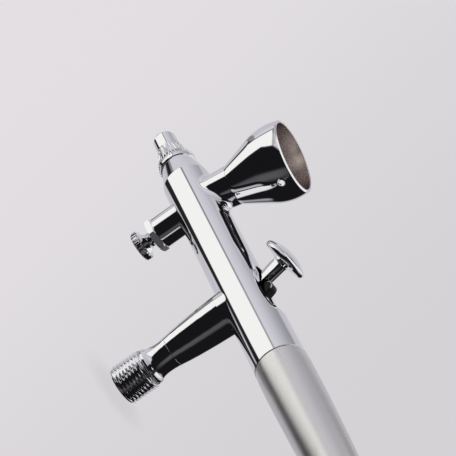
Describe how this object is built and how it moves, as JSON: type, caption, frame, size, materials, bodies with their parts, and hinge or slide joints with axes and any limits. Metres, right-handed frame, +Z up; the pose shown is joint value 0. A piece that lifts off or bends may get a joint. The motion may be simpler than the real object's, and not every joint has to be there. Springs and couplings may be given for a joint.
{
  "type": "airbrush gun",
  "caption": "Dual-action gravity-feed airbrush gun with a side-leaning metal paint cup, knurled air-control valve, threaded hose inlet and satin handle.",
  "frame": {"origin": "centre of the lower end of the 1/8 inch air hose thread, on the air valve's axis", "axes": "+X from the nozzle towards the handle, +Z up the air valve towards the paint cup, +Y to the left of the barrel's plane of symmetry"},
  "size_m": [0.1558, 0.0192, 0.0636],
  "materials": {
    "chrome": "polished chrome plate",
    "satin_chrome": "satin chrome plate",
    "steel": "smooth bright steel",
    "black_steel": "blackened steel, bright at its edges",
    "spring_steel": "drawn spring wire",
    "brass": "turned brass",
    "ptfe": "white PTFE",
    "rubber": "black nitrile rubber"
  },
  "bodies": {
    "gun": {"body": "chrome", "nozzle_cap": "chrome", "needle_cap": "chrome", "fluid_nozzle": "brass", "nozzle_seal": "ptfe", "paint_cup": "chrome", "cup_gasket": "ptfe", "needle_packing": "ptfe", "packing_screw": "brass", "lever_pin": "steel", "needle_spring": "spring_steel", "spring_case": "chrome", "handle": "satin_chrome", "air_valve_casing": "chrome", "valve_guide": "brass", "valve_packing": "ptfe", "valve_spring": "spring_steel", "valve_retainer": "brass", "control_bushing": "chrome"},
    "plunger": {"valve_plunger": "brass", "valve_pin": "steel", "valve_o_ring": "rubber", "trigger_pin": "steel"},
    "trigger": {"trigger": "chrome"},
    "lever": {"auxiliary_lever": "black_steel"},
    "needle_train": {"needle_carriage": "brass", "chuck_nut": "chrome", "needle": "steel"},
    "control_seal": {"control_o_ring": "rubber"},
    "control_stem": {"control_screw": "steel", "control_knob": "chrome"},
    "preset_seal": {"preset_o_ring": "rubber"},
    "preset": {"preset_knob": "chrome"}
  },
  "joints": [
    {"name": "trigger_press", "type": "slide", "parent": "gun", "child": "plunger", "axis": [0, 0, -1], "range_m": [0, 0.0018], "stiffness_N_per_m": 400, "springref_m": -0.004, "deforming": ["valve_spring"]},
    {"name": "trigger_pull", "type": "hinge", "parent": "plunger", "child": "trigger", "pos_m": [0, 0, 0.031], "axis": [0, 1, 0], "range_deg": [0, 26], "stiffness_Nm_per_rad": 0.0136, "springref_deg": -42.4},
    {"name": "lever_turn", "type": "hinge", "parent": "gun", "child": "lever", "pos_m": [0.003, 0, 0.0324], "axis": [0, 1, 0], "range_deg": [0, 34]},
    {"name": "needle_slide", "type": "slide", "parent": "gun", "child": "needle_train", "axis": [1, 0, 0], "range_m": [0, 0.0031], "deforming": ["needle_spring"]},
    {"name": "control_turn", "type": "hinge", "parent": "control_seal", "child": "control_stem", "pos_m": [-0.0347, 0, 0.0171], "axis": [0, 0, -1], "range_deg": [-361, 631]},
    {"name": "control_lift", "type": "slide", "parent": "gun", "child": "control_seal", "axis": [0, 0, -1], "range_m": [-0.0005, 0.00088]},
    {"name": "preset_turn", "type": "hinge", "parent": "preset_seal", "child": "preset", "pos_m": [0.085, 0, 0.035], "axis": [1, 0, 0], "range_deg": [-1081, 721]},
    {"name": "preset_lift", "type": "slide", "parent": "gun", "child": "preset_seal", "axis": [1, 0, 0], "range_m": [-0.00225, 0.0015]}
  ],
  "couplings": [
    {"joint": "lever_turn", "follows": "trigger_pull", "ratio": 1.3},
    {"joint": "needle_slide", "follows": "trigger_pull", "m_per_rad": 0.0067213},
    {"joint": "control_turn", "follows": "control_lift", "rad_per_m": 12566},
    {"joint": "preset_turn", "follows": "preset_lift", "rad_per_m": 8377.6}
  ]
}
